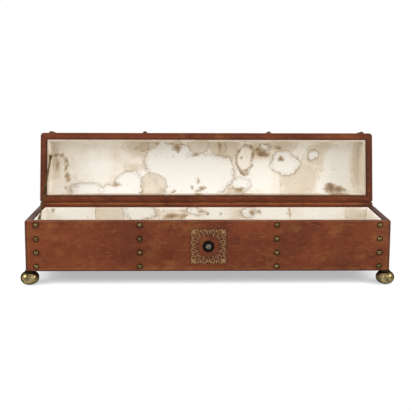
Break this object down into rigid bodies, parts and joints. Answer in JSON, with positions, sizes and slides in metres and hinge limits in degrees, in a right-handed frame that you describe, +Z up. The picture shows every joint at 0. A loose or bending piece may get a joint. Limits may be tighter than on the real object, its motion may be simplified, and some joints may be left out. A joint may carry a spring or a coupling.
{
  "type": "leather box",
  "caption": "Long leather-covered wooden box on bun feet, with a hinged barrel lid held open by a side chain, a light lining and domed nails.",
  "frame": {"origin": "centre of the underside of the bounding box with the lid open: halfway along the box, halfway between the front feet's front and the open lid's back, on the floor", "axes": "+X along the box to the right as seen from its front, -Y out of the front, +Z up"},
  "size_m": [0.7414, 0.2486, 0.2848],
  "materials": {
    "board": "sawn, unpainted",
    "leather": "waxed, worn",
    "strip_leather": "thin, worn",
    "lining": "smooth, stained",
    "aged_brass": "aged",
    "dark_bronze": "dark, polished by use",
    "boss_bronze": "dark, polished by use",
    "gilding": "gilt relief",
    "steel": "plain"
  },
  "bodies": {
    "base": {"base_front_board": "board", "base_rear_board": "board", "base_left_board": "board", "base_right_board": "board", "base_floor_board": "board", "base_leather_wrap": "leather", "base_underside_leather": "leather", "base_front_lining": "lining", "base_rear_lining": "lining", "base_left_lining": "lining", "base_right_lining": "lining", "base_floor_lining": "lining", "left_hinge_base_leaf": "aged_brass", "right_hinge_base_leaf": "aged_brass", "hinge_pins": "aged_brass", "base_hinge_screws": "aged_brass", "hinge_strip": "strip_leather", "stay_chain": "aged_brass", "base_stay_screw": "aged_brass", "front_left_foot": "aged_brass", "front_right_foot": "aged_brass", "rear_left_foot": "aged_brass", "rear_right_foot": "aged_brass", "foot_studs": "steel", "boss_ring": "dark_bronze", "boss_dome": "boss_bronze", "boss_screw": "steel", "scroll_ornament": "gilding", "base_nails": "aged_brass"},
    "lid": {"lid_front_board": "board", "lid_rear_board": "board", "lid_left_board": "board", "lid_right_board": "board", "lid_top_board": "board", "lid_leather_wrap": "leather", "lid_leather_top": "leather", "lid_front_lining": "lining", "lid_rear_lining": "lining", "lid_left_lining": "lining", "lid_right_lining": "lining", "lid_top_lining": "lining", "left_hinge_lid_leaf": "aged_brass", "right_hinge_lid_leaf": "aged_brass", "lid_hinge_screws": "aged_brass", "lid_stay_screw": "aged_brass", "lid_nails": "aged_brass"}
  },
  "joints": [
    {"name": "lid_hinge", "type": "hinge", "parent": "base", "child": "lid", "pos_m": [0, 0.04198, 0.1282], "axis": [1, 0, 0], "range_deg": [0, 99], "deforming": ["hinge_strip", "stay_chain"]}
  ]
}
